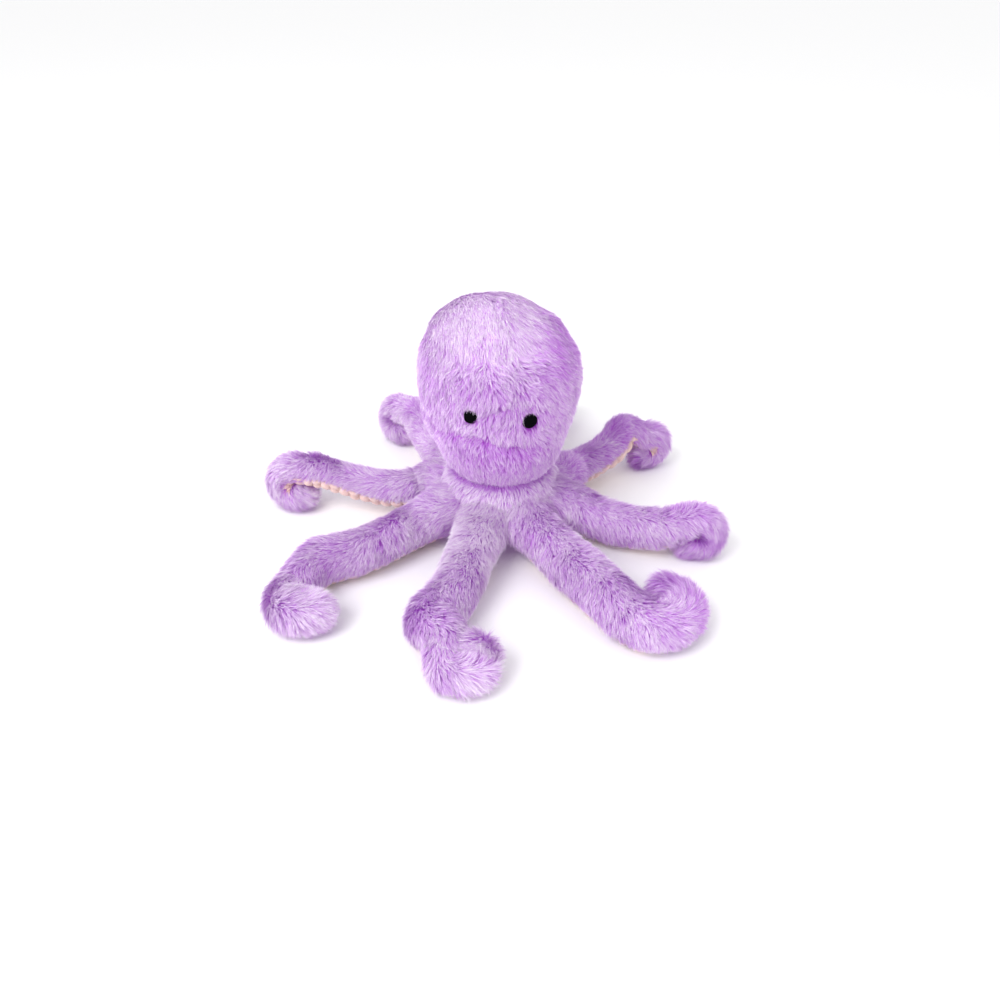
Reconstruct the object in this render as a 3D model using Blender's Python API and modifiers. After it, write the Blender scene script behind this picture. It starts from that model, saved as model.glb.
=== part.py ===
"""Plush octopus: a stuffed head that nods on a round neck, and eight limp arms hinged round the body."""

import math

import bmesh
import bpy
from mathutils import Matrix, Quaternion, Vector

# Driving sizes, in metres. Every piece below follows these.
ARM_COUNT = 8
ARM_TURN_DEG = -16.0
ARM_REACH = 0.100
ARM_RADIUS = 0.016
ARM_ROOT_RADIUS = 0.0175
ARM_ROOT_HEIGHT = 0.022
ARM_NEIGHBOUR_GAP = 0.00175
ARM_PILE = 0.005
ARM_GROUND_FLAT = 0.0005
STRIP_THICKNESS = 0.003

HEAD_RADIUS = 0.0545
HEAD_HEIGHT = 0.1195
HEAD_PILE = 0.005

NECK_DOME_RADIUS = 0.0436
NECK_PIVOT_HEIGHT = 0.020
NECK_SLACK = 0.0007

BODY_WALL = 0.0042
BODY_DOME_WALL = 0.005
BODY_HEM_HEIGHT = 0.004
BODY_HEM_INSET = 0.003
BASE_THICKNESS = 0.004

EYE_RADIUS = 0.005
EYE_THICKNESS = 0.0026
EYE_SPACING = 0.038
EYE_HEIGHT = 0.113
EYE_SETBACK = 0.0004

# Clearances, in metres.
SEAM_GAP = 0.0004
FACET_GAP = 0.0004
CORE_GAP = 0.0007
CUT_OVERRUN = 0.002

# Counts, which set how fine each faceted form is.
ARM_SIDES = 12
STRIP_SIDES = 3
STUFFING_SIDES = 8
RUN_STATIONS = 5
CURL_STATIONS = 9
SPLINE_STEPS = 12
END_RINGS = 3
RECESS_SEGMENTS = 16
RECESS_RINGS = 10
HEAD_SEGMENTS = 24
BODY_SEGMENTS = 24
DOME_STEPS = 5
EYE_SEGMENTS = 16

# Turns of an arm's section, in degrees.
SIDE_DEG = 360.0 / ARM_SIDES
CURL_STEP_DEG = 28.0
SLOT_HALF_DEG = STRIP_SIDES * SIDE_DEG / 2

# The body's outer radius, as a share of the arm root's radius taken off the ring of roots.
BODY_INSET_SHARE = 0.686
# The head's opening at the neck, as a share of the dome it turns on.
NECK_RIM_SHARE = 0.745
# How much of an arm's length the wider-spaced stations of its run take.
RUN_LENGTH_SHARE = 0.55

# The head's outline above its rim: distance out as a share of HEAD_RADIUS, height as a share of HEAD_HEIGHT.
HEAD_OUTLINE_SHARES = [
    (0.68, 0.045),
    (0.755, 0.11),
    (0.845, 0.205),
    (0.92, 0.30),
    (0.98, 0.405),
    (1.0, 0.51),
    (0.985, 0.615),
    (0.925, 0.72),
    (0.81, 0.825),
    (0.63, 0.91),
    (0.37, 0.972),
]

# How each arm lies. A run's rows give the way out from the hinge and the way to the side as shares of ARM_REACH,
# then height and girth as shares of ARM_RADIUS. The curl's centre is given the same way, its radius and its girth at
# both ends as shares of ARM_RADIUS, and its turn in degrees. An upright curl rolls the tip down and under, in the
# plane of its heading. A flat one lies on the ground, its tip higher by the rise, a share of ARM_RADIUS.
ARM_POSE_SHARES = {
    "front_arm": {
        "run": [(0.27, -0.005, 1.13, 1.04), (0.53, -0.03, 1.02, 1.05), (0.77, -0.04, 1.0, 0.99)],
        "curl": {"centre": (1.08, 0.195), "radius": (0.93, 0.84), "girth": (0.85, 0.60), "rise": 0.6},
        "upright": False,
        "heading_deg": 0.0,
        "turn_deg": (-86.0, 132.0),
    },
    "front_right_arm": {
        "run": [(0.34, 0.05, 1.10, 1.07), (0.71, 0.065, 1.03, 1.06)],
        "curl": {"centre": (0.92, 0.315), "radius": (1.50, 1.10), "girth": (1.02, 0.66), "rise": 0.2},
        "upright": False,
        "heading_deg": 0.0,
        "turn_deg": (-62.0, 118.0),
    },
    "right_arm": {
        "run": [(0.25, -0.03, 1.19, 1.0), (0.50, -0.07, 1.12, 0.96), (0.67, -0.075, 1.38, 0.85)],
        "curl": {"centre": (0.905, -0.035), "radius": (0.79, 0.78), "girth": (0.68, 0.53), "rise": 0.0},
        "upright": True,
        "heading_deg": 10.0,
        "turn_deg": (110.0, -104.0),
    },
    "back_right_arm": {
        "run": [(0.27, 0.05, 1.40, 0.90), (0.48, 0.10, 1.62, 0.82), (0.66, 0.13, 1.98, 0.76)],
        "curl": {"centre": (0.885, 0.075), "radius": (0.76, 0.76), "girth": (0.70, 0.56), "rise": 0.0},
        "upright": True,
        "heading_deg": -16.0,
        "turn_deg": (112.0, -122.0),
    },
    "back_arm": {
        "run": [(0.25, -0.02, 1.25, 0.96), (0.50, -0.04, 1.19, 0.88), (0.68, -0.05, 1.50, 0.78)],
        "curl": {"centre": (0.95, -0.08), "radius": (0.76, 0.75), "girth": (0.66, 0.54), "rise": 0.0},
        "upright": True,
        "heading_deg": -8.0,
        "turn_deg": (112.0, -110.0),
    },
    "back_left_arm": {
        "run": [(0.20, 0.07, 1.36, 0.93), (0.42, 0.135, 1.50, 0.84), (0.62, 0.165, 1.88, 0.75)],
        "curl": {"centre": (0.88, 0.21), "radius": (0.77, 0.73), "girth": (0.67, 0.53), "rise": 0.0},
        "upright": True,
        "heading_deg": 16.0,
        "turn_deg": (106.0, -122.0),
    },
    "left_arm": {
        "run": [(0.24, 0.09, 1.36, 0.91), (0.52, 0.16, 1.48, 0.80), (0.75, 0.195, 1.82, 0.75)],
        "curl": {"centre": (1.01, 0.265), "radius": (0.79, 0.77), "girth": (0.72, 0.58), "rise": 0.0},
        "upright": True,
        "heading_deg": 9.0,
        "turn_deg": (105.0, -118.0),
    },
    "front_left_arm": {
        "run": [(0.21, -0.035, 1.19, 1.0), (0.60, 0.02, 1.02, 1.06), (0.86, 0.06, 1.0, 1.04)],
        "curl": {"centre": (1.03, 0.31), "radius": (1.16, 1.04), "girth": (0.97, 0.70), "rise": 0.1},
        "upright": False,
        "heading_deg": 0.0,
        "turn_deg": (-66.0, 92.0),
    },
}

# Sizes worked out from the ones above.
ARM_RING_RADIUS = (ARM_ROOT_RADIUS + ARM_NEIGHBOUR_GAP / 2) / math.sin(math.pi / ARM_COUNT)
RECESS_RADIUS = (ARM_ROOT_RADIUS + FACET_GAP) / math.cos(math.pi / RECESS_SEGMENTS)
BODY_RADIUS = ARM_RING_RADIUS - BODY_INSET_SHARE * ARM_ROOT_RADIUS
CAVITY_RADIUS = ARM_RING_RADIUS - RECESS_RADIUS - BODY_WALL
CUP_RADIUS = NECK_DOME_RADIUS + NECK_SLACK
RIM_RADIUS = NECK_RIM_SHARE * CUP_RADIUS

LILAC = (0.62, 0.40, 0.80, 1.0)
PEACH = (0.85, 0.62, 0.55, 1.0)
FIBRE = (0.92, 0.92, 0.90, 1.0)
BLACK = (0.01, 0.01, 0.012, 1.0)


def clear_scene():
    for thing in list(bpy.data.objects):
        bpy.data.objects.remove(thing, do_unlink=True)


def make_collection(name):
    collection = bpy.data.collections.new(name)
    bpy.context.scene.collection.children.link(collection)
    return collection


def make_material(name, colour, roughness):
    material = bpy.data.materials.new(name)
    material.use_nodes = True
    shader = material.node_tree.nodes["Principled BSDF"]
    shader.inputs["Base Color"].default_value = colour
    shader.inputs["Roughness"].default_value = roughness
    shader.inputs["Metallic"].default_value = 0.0
    material.diffuse_color = colour
    return material


def add_object(name, mesh, collection, material=None):
    thing = bpy.data.objects.new(name, mesh)
    if material is not None:
        mesh.materials.append(material)
    mesh.shade_smooth()
    collection.objects.link(thing)
    return thing


def mesh_from_bmesh(name, bm):
    mesh = bpy.data.meshes.new(name)
    bm.to_mesh(mesh)
    bm.free()
    return mesh


def outward(bm):
    """Merges points that meet at a pole or a closed seam, and turns all faces outward."""
    bmesh.ops.remove_doubles(bm, verts=bm.verts, dist=FACET_GAP / 30)
    bmesh.ops.recalc_face_normals(bm, faces=bm.faces)


# Turned pieces: a closed outline in the XZ plane, swept once round Z.
def turned(name, outline, segments, collection, material=None):
    """The outline runs down its outer side from the top, and comes back up its inner side."""
    bm = bmesh.new()
    verts = [bm.verts.new((out, 0.0, up)) for out, up in outline]
    for first, second in zip(verts, verts[1:]):
        bm.edges.new((first, second))
    if outline[0][0] > 0 or outline[-1][0] > 0:
        bm.edges.new((verts[-1], verts[0]))
    thing = add_object(name, mesh_from_bmesh(name, bm), collection, material)
    screw = thing.modifiers.new("Turn", "SCREW")
    screw.axis = "Z"
    screw.angle = math.tau
    screw.steps = segments
    screw.render_steps = segments
    screw.use_merge_vertices = True
    screw.merge_threshold = FACET_GAP / 30
    return thing


def dome_points(radius, out_radius, steps):
    """Points of a ball round the neck pivot, from its top down to out_radius."""
    end = math.asin(out_radius / radius)
    turns = [end * step / steps for step in range(steps + 1)]
    return [(radius * math.sin(turn), NECK_PIVOT_HEIGHT + radius * math.cos(turn)) for turn in turns]


def cut(target, cutter, name):
    boolean = target.modifiers.new(name, "BOOLEAN")
    boolean.operation = "DIFFERENCE"
    boolean.solver = "EXACT"
    boolean.object = cutter


def as_cutter(thing):
    thing.hide_render = True
    thing.display_type = "WIRE"


def head_outline():
    """The head's outer line, from the crown down to its rim at the neck."""
    rim = (RIM_RADIUS, NECK_PIVOT_HEIGHT + math.sqrt(CUP_RADIUS**2 - RIM_RADIUS**2))
    rows = [(HEAD_RADIUS * out, rim[1] + HEAD_HEIGHT * up) for out, up in HEAD_OUTLINE_SHARES]
    crown = (0.0, rim[1] + HEAD_HEIGHT)
    return [crown] + rows[::-1] + [rim]


def inset(outline, depth):
    """Moves an outline that starts on the axis inward by depth, square to itself."""
    moved = []
    for index, point in enumerate(outline):
        before = Vector(outline[max(index - 1, 0)])
        after = Vector(outline[min(index + 1, len(outline) - 1)])
        along = (after - before).normalized()
        if index == 0:
            along = Vector((1.0, 0.0))
        inward = Vector((along.y, -along.x))
        moved.append(Vector(point) + depth * inward)
    moved[0].x = 0.0
    return [tuple(point) for point in moved]


def seated_on_cup(line, radius):
    """Ends an inner line on the ball that the head turns on: drops the points inside it, and adds the meeting point."""
    kept = [p for p in line if math.hypot(p[0], p[1] - NECK_PIVOT_HEIGHT) > radius + FACET_GAP]
    out = kept[-1][0] * radius / math.hypot(kept[-1][0], kept[-1][1] - NECK_PIVOT_HEIGHT)
    return kept, (out, NECK_PIVOT_HEIGHT + math.sqrt(radius**2 - out**2))


def make_head(parts, cutters, pile, fibre, black):
    outer = head_outline()
    inner, inner_rim = seated_on_cup(inset(outer, HEAD_PILE), CUP_RADIUS)
    cover_line = outer + [inner_rim] + inner[::-1]
    cover = turned("head_cover", cover_line, HEAD_SEGMENTS, parts, pile)

    fill_line, fill_rim = seated_on_cup(inset(outer, HEAD_PILE + SEAM_GAP), CUP_RADIUS)
    cup = dome_points(CUP_RADIUS, fill_rim[0], DOME_STEPS)
    turned("head_stuffing", fill_line + cup[::-1], HEAD_SEGMENTS, parts, fibre)

    out = EYE_SPACING / 2
    turn = math.asin(out / HEAD_RADIUS)
    surface = HEAD_RADIUS * math.cos(math.pi / HEAD_SEGMENTS)
    for side, name in ((-1, "left_eye"), (1, "right_eye")):
        facing = Matrix.Rotation(side * turn, 4, "Z") @ Matrix.Rotation(math.pi / 2, 4, "X")
        front = Matrix.Translation((0.0, 0.0, EYE_HEIGHT)) @ facing
        eye = turned(name, eye_outline(), EYE_SEGMENTS, parts, black)
        eye.matrix_world = front @ Matrix.Translation((0.0, 0.0, surface - EYE_SETBACK - EYE_THICKNESS))
        pocket = pocket_cutter(name + "_pocket", cutters)
        floor = surface - EYE_SETBACK - EYE_THICKNESS - SEAM_GAP
        pocket.matrix_world = front @ Matrix.Translation((0.0, 0.0, floor))
        cut(cover, pocket, name + "_pocket")


def eye_outline():
    """A flat-backed button with a low crown, standing on z = 0."""
    edge = EYE_THICKNESS / 2
    quarter = [math.pi / 2 * step / 3 for step in range(4)]
    crown = [(EYE_RADIUS * math.sin(turn), edge + (EYE_THICKNESS - edge) * math.cos(turn)) for turn in quarter]
    return crown + [(EYE_RADIUS, 0.0), (0.0, 0.0)]


def pocket_cutter(name, cutters):
    bm = bmesh.new()
    depth = EYE_THICKNESS + EYE_SETBACK + SEAM_GAP + CUT_OVERRUN
    radius = (EYE_RADIUS + SEAM_GAP) / math.cos(math.pi / EYE_SEGMENTS)
    up = Matrix.Translation((0.0, 0.0, depth / 2))
    bmesh.ops.create_cone(
        bm, cap_ends=True, segments=EYE_SEGMENTS, radius1=radius, radius2=radius, depth=depth, matrix=up
    )
    cutter = add_object(name, mesh_from_bmesh(name, bm), cutters)
    as_cutter(cutter)
    return cutter


# The body stands inside the ring of arm roots, with a round recess for each, and its top is the neck dome.
def make_body(parts, cutters, pile, fibre, bobble):
    dome = dome_points(NECK_DOME_RADIUS, BODY_RADIUS, DOME_STEPS + 2)
    hem = [(BODY_RADIUS, BODY_HEM_HEIGHT), (BODY_RADIUS - BODY_HEM_INSET, 0.0), (CAVITY_RADIUS, 0.0)]
    vault = dome_points(NECK_DOME_RADIUS - BODY_DOME_WALL, CAVITY_RADIUS, DOME_STEPS)
    cover = turned("body_cover", dome + hem + vault[::-1], BODY_SEGMENTS, parts, pile)
    recesses = bmesh.new()
    for index in range(ARM_COUNT):
        place = Matrix.Translation(hinge_of(index)) @ Matrix.Rotation(azimuth_of(index), 4, "Z")
        bmesh.ops.create_uvsphere(
            recesses,
            u_segments=RECESS_SEGMENTS,
            v_segments=RECESS_RINGS,
            radius=RECESS_RADIUS,
            matrix=place,
        )
    cutter = add_object("arm_root_recesses", mesh_from_bmesh("arm_root_recesses", recesses), cutters)
    as_cutter(cutter)
    cut(cover, cutter, "arm_root_recesses")

    fill_radius = CAVITY_RADIUS - SEAM_GAP
    fill = dome_points(NECK_DOME_RADIUS - BODY_DOME_WALL - SEAM_GAP, fill_radius, DOME_STEPS)
    floor = BASE_THICKNESS + SEAM_GAP
    turned("body_stuffing", fill + [(fill_radius, floor), (0.0, floor)], BODY_SEGMENTS, parts, fibre)
    panel = [(0.0, BASE_THICKNESS), (fill_radius, BASE_THICKNESS), (fill_radius, 0.0), (0.0, 0.0)]
    turned("base_panel", panel, BODY_SEGMENTS, parts, bobble)


def azimuth_of(index):
    """The way an arm points, as a turn about Z from +X. Arm 0 is the front one."""
    return math.radians(ARM_TURN_DEG - 90.0) + math.tau * index / ARM_COUNT


def hinge_of(index):
    turn = azimuth_of(index)
    return Vector((ARM_RING_RADIUS * math.cos(turn), ARM_RING_RADIUS * math.sin(turn), ARM_ROOT_HEIGHT))


# Arms: each is a line of stations, with a girth at each, in a frame whose origin is on its hinge and whose +X points
# out. The section's underside faces down at the root and is carried along the line without twist.
def pose_points(pose):
    """The rows (place, girth) that an arm's line runs through, from its hinge to its tip."""
    rows = [(Vector((0.0, 0.0, 0.0)), ARM_ROOT_RADIUS)]
    for out, side, up, girth in pose["run"]:
        height = ARM_RADIUS * up - ARM_ROOT_HEIGHT
        rows.append((Vector((ARM_REACH * out, ARM_REACH * side, height)), ARM_RADIUS * girth))
    curl = pose["curl"]
    start, end = pose["turn_deg"]
    centre = Vector((ARM_REACH * curl["centre"][0], ARM_REACH * curl["centre"][1], -ARM_ROOT_HEIGHT))
    heading = math.radians(pose["heading_deg"])
    facet = math.cos(math.radians(SIDE_DEG / 2))
    lowest = (-90.0 - start) / (end - start)
    rest = ARM_RADIUS * (between(curl["radius"], lowest) + facet * between(curl["girth"], lowest)) - ARM_GROUND_FLAT
    steps = round(abs(end - start) / CURL_STEP_DEG)
    for step in range(steps + 1):
        share = step / steps
        turn = math.radians(between((start, end), share))
        girth = ARM_RADIUS * between(curl["girth"], share)
        swing = ARM_RADIUS * between(curl["radius"], share)
        if pose["upright"]:
            along = Vector((math.cos(heading), math.sin(heading), 0.0)) * swing * math.cos(turn)
            place = along + Vector((0.0, 0.0, rest + swing * math.sin(turn)))
        else:
            lift = facet * girth - ARM_GROUND_FLAT + ARM_RADIUS * curl["rise"] * share**2
            place = Vector((swing * math.cos(turn), swing * math.sin(turn), lift))
        rows.append((centre + place, girth))
    return rows


def between(pair, share):
    return pair[0] + (pair[1] - pair[0]) * share


def blended(before, start, end, after, share):
    """One point of a smooth curve through start and end."""
    squared, cubed = share**2, share**3
    return 0.5 * (
        2 * start
        + (end - before) * share
        + (2 * before - 5 * start + 4 * end - after) * squared
        + (3 * start - before - 3 * end + after) * cubed
    )


def smooth_line(rows):
    """A dense line of (place, girth) through the rows."""
    places = [row[0] for row in rows]
    girths = [row[1] for row in rows]
    places = [2 * places[0] - places[1]] + places + [2 * places[-1] - places[-2]]
    girths = [girths[0]] + girths + [girths[-1]]
    places[0] = Vector((-(places[2] - places[1]).length, 0.0, 0.0))
    line = []
    for index in range(1, len(places) - 2):
        for step in range(SPLINE_STEPS):
            share = step / SPLINE_STEPS
            place = blended(*places[index - 1 : index + 3], share)
            girth = blended(*girths[index - 1 : index + 3], share)
            line.append((place, girth))
    line.append((places[-2], girths[-2]))
    return line


def stations_along(line):
    """Places and girths at even steps, closer in the curl, and the way the line runs at each."""
    lengths = [0.0]
    for first, second in zip(line, line[1:]):
        lengths.append(lengths[-1] + (second[0] - first[0]).length)
    curl_start = lengths[-1] * RUN_LENGTH_SHARE
    marks = [curl_start * step / RUN_STATIONS for step in range(RUN_STATIONS)]
    marks += [curl_start + (lengths[-1] - curl_start) * step / CURL_STATIONS for step in range(CURL_STATIONS + 1)]
    stations = []
    index = 0
    for mark in marks:
        while index < len(lengths) - 2 and lengths[index + 1] < mark:
            index += 1
        share = (mark - lengths[index]) / (lengths[index + 1] - lengths[index])
        place = line[index][0].lerp(line[index + 1][0], share)
        girth = line[index][1] + (line[index + 1][1] - line[index][1]) * share
        near, far = max(index - 1, 0), min(index + 2, len(line) - 1)
        stations.append((place, girth, (line[far][0] - line[near][0]).normalized()))
    stations[0] = (stations[0][0], stations[0][1], Vector((1.0, 0.0, 0.0)))
    return stations


def framed(stations):
    """Adds each station's under and side directions, carried along without twist."""
    under = Vector((0.0, 0.0, -1.0))
    before = stations[0][2]
    rings = []
    for place, girth, along in stations:
        under = before.rotation_difference(along) @ under
        under = (under - along * under.dot(along)).normalized()
        rings.append((place, girth, along, under, along.cross(under)))
        before = along
    return rings


def with_round_ends(rings):
    return round_end(rings[0], -1) + rings + round_end(rings[-1], 1)[::-1]


def round_end(ring, way):
    """Rings that close an end as half a ball, the pole first."""
    place, girth, along, under, side = ring
    turns = [math.pi / 2 * step / END_RINGS for step in range(END_RINGS)]
    return [
        (place + along * (way * girth * math.cos(turn)), girth * math.sin(turn), along, under, side)
        for turn in turns
    ]


def ring_point(ring, turn, hinge, depth=0.0, lean=0.0):
    """A point of a section, turn being measured from its underside. It is sunk by depth along a turn of its own, and
    nothing goes below the ground."""
    place, girth, _, under, side = ring
    outward_way = under * math.cos(turn) + side * math.sin(turn)
    sinking_way = under * math.cos(lean) + side * math.sin(lean)
    point = place + outward_way * girth - sinking_way * depth
    point.z = max(point.z, -hinge.z)
    return point


def grid_faces(bm, rows, left_out=()):
    for row, below in zip(rows, rows[1:]):
        for column in range(len(row) - 1):
            if column not in left_out:
                bm.faces.new([row[column], row[column + 1], below[column + 1], below[column]])


def arm_cover_mesh(name, rings, hinge):
    """The pile fabric of an arm: a sleeve with round ends, slit along the underside for the strip."""
    bm = bmesh.new()
    turns = [math.radians(SIDE_DEG * step - SLOT_HALF_DEG) for step in range(ARM_SIDES + 1)]
    rows = [[bm.verts.new(ring_point(ring, turn, hinge)) for turn in turns] for ring in with_round_ends(rings)]
    first, last = END_RINGS + 1, len(rows) - END_RINGS - 2
    grid_faces(bm, rows[: first + 1])
    grid_faces(bm, rows[first : last + 1], left_out=range(STRIP_SIDES))
    grid_faces(bm, rows[last:])
    bmesh.ops.delete(bm, geom=[vert for vert in bm.verts if not vert.link_faces], context="VERTS")
    outward(bm)
    return mesh_from_bmesh(name, bm)


def strip_rings(rings):
    """The rings between the slit's ends, the first and last moved clear of them."""
    gap = SEAM_GAP + FACET_GAP
    first, last = rings[1], rings[-2]
    start = (first[0] + first[2] * gap, *first[1:])
    end = (last[0] - last[2] * gap, *last[1:])
    return [start] + rings[2:-2] + [end]


def arm_strip_mesh(name, rings, hinge):
    """The bobble fabric that closes the slit, thinner than the pile beside it. Its edges lie along the slit's."""
    bm = bmesh.new()
    outer, inner = [], []
    half = math.radians(SLOT_HALF_DEG)
    slant = math.radians(SIDE_DEG / 2)
    for ring in strip_rings(rings):
        edge = half - (SEAM_GAP + FACET_GAP) / ring[1]
        turns = [2 * half * step / STRIP_SIDES - half for step in range(STRIP_SIDES + 1)]
        turns[0], turns[-1] = -edge, edge
        leans = [-half - slant] + turns[1:-1] + [half + slant]
        outer.append([bm.verts.new(ring_point(ring, turn, hinge)) for turn in turns])
        sunk = [ring_point(ring, turn, hinge, STRIP_THICKNESS, lean) for turn, lean in zip(turns, leans)]
        inner.append([bm.verts.new(point) for point in sunk])
    grid_faces(bm, outer)
    grid_faces(bm, inner)
    for column in (0, STRIP_SIDES):
        grid_faces(bm, [[outside[column], inside[column]] for outside, inside in zip(outer, inner)])
    for index in (0, -1):
        grid_faces(bm, [outer[index], inner[index]])
    outward(bm)
    return mesh_from_bmesh(name, bm)


def arm_stuffing_mesh(name, rings, hinge):
    """The fibre core, inside the sleeve and the strip."""
    bm = bmesh.new()
    facet = math.cos(math.radians(SIDE_DEG / 2))
    slim = [(ring[0], (ring[1] - ARM_PILE) * facet - CORE_GAP, *ring[2:]) for ring in rings]
    turns = [math.tau * step / STUFFING_SIDES for step in range(STUFFING_SIDES + 1)]
    rows = [[bm.verts.new(ring_point(ring, turn, hinge)) for turn in turns] for ring in with_round_ends(slim)]
    grid_faces(bm, rows)
    outward(bm)
    return mesh_from_bmesh(name, bm)


def make_arm(index, name, parts, pile, fibre, bobble):
    hinge = hinge_of(index)
    rings = framed(stations_along(smooth_line(pose_points(ARM_POSE_SHARES[name]))))
    root = bpy.data.objects.new(name + "_hinge", None)
    root.location = hinge
    root.rotation_euler.z = azimuth_of(index)
    parts.objects.link(root)
    cover = add_object(name + "_cover", arm_cover_mesh(name + "_cover", rings, hinge), parts, pile)
    sleeve = cover.modifiers.new("Pile", "SOLIDIFY")
    sleeve.thickness = ARM_PILE
    sleeve.offset = -1.0
    sleeve.use_even_offset = False
    strip = add_object(name + "_underside", arm_strip_mesh(name + "_underside", rings, hinge), parts, bobble)
    core = add_object(name + "_stuffing", arm_stuffing_mesh(name + "_stuffing", rings, hinge), parts, fibre)
    for piece in (cover, strip, core):
        piece.parent = root


def main():
    clear_scene()
    parts = make_collection("plush_octopus")
    cutters = make_collection("cutters")
    pile = make_material("lilac_pile", LILAC, 0.95)
    bobble = make_material("peach_bobble", PEACH, 0.95)
    fibre = make_material("white_fibre", FIBRE, 1.0)
    black = make_material("black_thread", BLACK, 0.6)
    make_body(parts, cutters, pile, fibre, bobble)
    make_head(parts, cutters, pile, fibre, black)
    for index, name in enumerate(ARM_POSE_SHARES):
        make_arm(index, name, parts, pile, fibre, bobble)


main()
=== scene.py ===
"""Plush octopus: lilac pile over a stuffed head, body and arms, peach bobble undersides, stitched eyes."""

import itertools
import math

import bmesh
import bpy
import numpy as np
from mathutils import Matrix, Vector


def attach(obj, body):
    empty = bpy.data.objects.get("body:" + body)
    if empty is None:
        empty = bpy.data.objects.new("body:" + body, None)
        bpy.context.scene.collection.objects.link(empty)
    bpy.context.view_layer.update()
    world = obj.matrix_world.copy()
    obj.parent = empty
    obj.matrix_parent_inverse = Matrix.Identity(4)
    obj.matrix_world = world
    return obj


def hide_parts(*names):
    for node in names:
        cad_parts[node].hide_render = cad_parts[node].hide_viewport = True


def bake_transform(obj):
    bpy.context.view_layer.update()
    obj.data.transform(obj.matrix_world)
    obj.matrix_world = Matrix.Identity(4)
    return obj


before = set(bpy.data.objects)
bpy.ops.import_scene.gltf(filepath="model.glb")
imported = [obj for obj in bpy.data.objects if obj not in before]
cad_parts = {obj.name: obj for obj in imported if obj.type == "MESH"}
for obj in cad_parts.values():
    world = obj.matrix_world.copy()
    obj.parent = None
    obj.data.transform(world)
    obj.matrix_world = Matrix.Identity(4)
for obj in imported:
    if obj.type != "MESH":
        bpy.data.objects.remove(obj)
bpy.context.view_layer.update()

# Sizes are in millimetres, and MM turns them into the scene's metres.
MM = 0.001
UP = np.array([0.0, 0.0, 1.0])

# How deep the pile's skin lies below the toy's outside, on the head and on the arms.
HEAD_PILE, ARM_PILE = 3.6, 3.8

# The arms' ring round the body, their roots, and the units of the rows below, as in the part.
ARM_RING = 48.0163
ARM_ROOT_HEIGHT = 22.0
ARM_ROOT_RADIUS = 17.5
ARM_REACH = 100.0
ARM_RADIUS = 16.0
ARM_FLAT = 0.5
# Twelve-sided arms in the part: this share of the girth is the distance to a flat.
FACET_SHARE = math.cos(math.radians(15.0))
# The end of each arm inside the body: its length, how far it rises and how much it narrows.
ARM_INNER, INNER_RISE, INNER_TAPER = 24.0, 6.5, 1.5
# Degrees of curl between two rows.
CURL_STEP = 28.0

# What an arm has unless its entry says: the strip's edges in degrees, tucks as (station, depth), and tones.
# Of the tones, lit is painted light near the root, the tip's tone pales the tip and is painted shade where it
# is below zero, and in_shade is painted shade over the whole arm.
PLAIN_ARM = dict(
    upright=True, heading=0, roll=0, rise=0, drift=0, strip=(-42, 42), tucks=[],
    lit=0.08, tip_tone_and_shade=0.18, in_shade=0,
)
# How each arm lies: run rows (out, side, height, girth), then the curl (place, radii, girths and sweep).
ARMS = {
    "front_arm": dict(
        turn=-16,
        run=[
            (0.277, 0, 1.12, 1.07), (0.56, 0, 0.95, 1.04), (0.83, -0.054, 0.96, 1.055),
            (0.965, 0.076, 1.05, 0.96),
        ],
        centre=(1.06, 0.238), radius=(0.83, 0.46), girth=(0.81, 0.72), sweep=(-50, 148),
        upright=False, rise=0.5, lit=0.40,
    ),
    "front_right_arm": dict(
        turn=29,
        run=[(0.327, 0.038, 1.15, 1.08), (0.72, 0.073, 1.05, 1.11)],
        centre=(0.928, 0.319), radius=(1.425, 0.91), girth=(1.04, 0.745), sweep=(-62, 118),
        upright=False, rise=0.2, tip_tone_and_shade=-0.22,
    ),
    "right_arm": dict(
        turn=74,
        run=[(0.24, -0.042, 1.11, 0.935), (0.513, -0.069, 1.11, 0.935), (0.722, -0.059, 1.35, 0.89)],
        centre=(0.905, -0.04), radius=(0.775, 0.50), girth=(0.73, 0.65), sweep=(110, -104),
        heading=10, tucks=[(70, 1.4)], lit=0, tip_tone_and_shade=-0.14,
    ),
    "back_right_arm": dict(
        turn=119,
        run=[(0.22, 0.078, 1.115, 0.855), (0.535, 0.10, 1.525, 0.815), (0.71, 0.16, 2.07, 0.765)],
        centre=(0.874, 0.084), radius=(0.65, 0.54), girth=(0.675, 0.61), sweep=(112, -122),
        heading=-16, roll=-26, strip=(-64, 40), in_shade=2.2, drift=-0.20,
    ),
    "back_arm": dict(
        turn=164,
        run=[(0.25, -0.02, 1.25, 0.96), (0.50, -0.04, 1.19, 0.88), (0.68, -0.05, 1.50, 0.78)],
        centre=(0.95, -0.08), radius=(0.76, 0.75), girth=(0.66, 0.54), sweep=(112, -110),
        heading=-8,
    ),
    "back_left_arm": dict(
        turn=209,
        run=[(0.208, 0.12, 1.357, 0.94), (0.42, 0.125, 1.50, 0.843), (0.69, 0.125, 2.02, 0.783)],
        centre=(0.882, 0.165), radius=(0.77, 0.54), girth=(0.71, 0.63), sweep=(106, -122),
        heading=20, drift=0.12,
    ),
    "left_arm": dict(
        turn=254,
        run=[(0.211, 0.113, 1.33, 0.885), (0.50, 0.158, 1.415, 0.755), (0.783, 0.192, 1.877, 0.742)],
        centre=(1, 0.236), radius=(0.865, 0.475), girth=(0.76, 0.665), sweep=(105, -126),
        heading=9, roll=18, strip=(-42, 60), tucks=[(14, 1.4)], drift=0.24,
    ),
    "front_left_arm": dict(
        turn=299,
        run=[(0.194, -0.007, 1.08, 0.99), (0.606, 0.069, 1.035, 0.995), (0.90, 0.055, 1, 1)],
        centre=(1.065, 0.329), radius=(0.89, 0.867), girth=(0.91, 0.85), sweep=(-66, 92),
        upright=False, rise=0.1,
    ),
}


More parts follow.
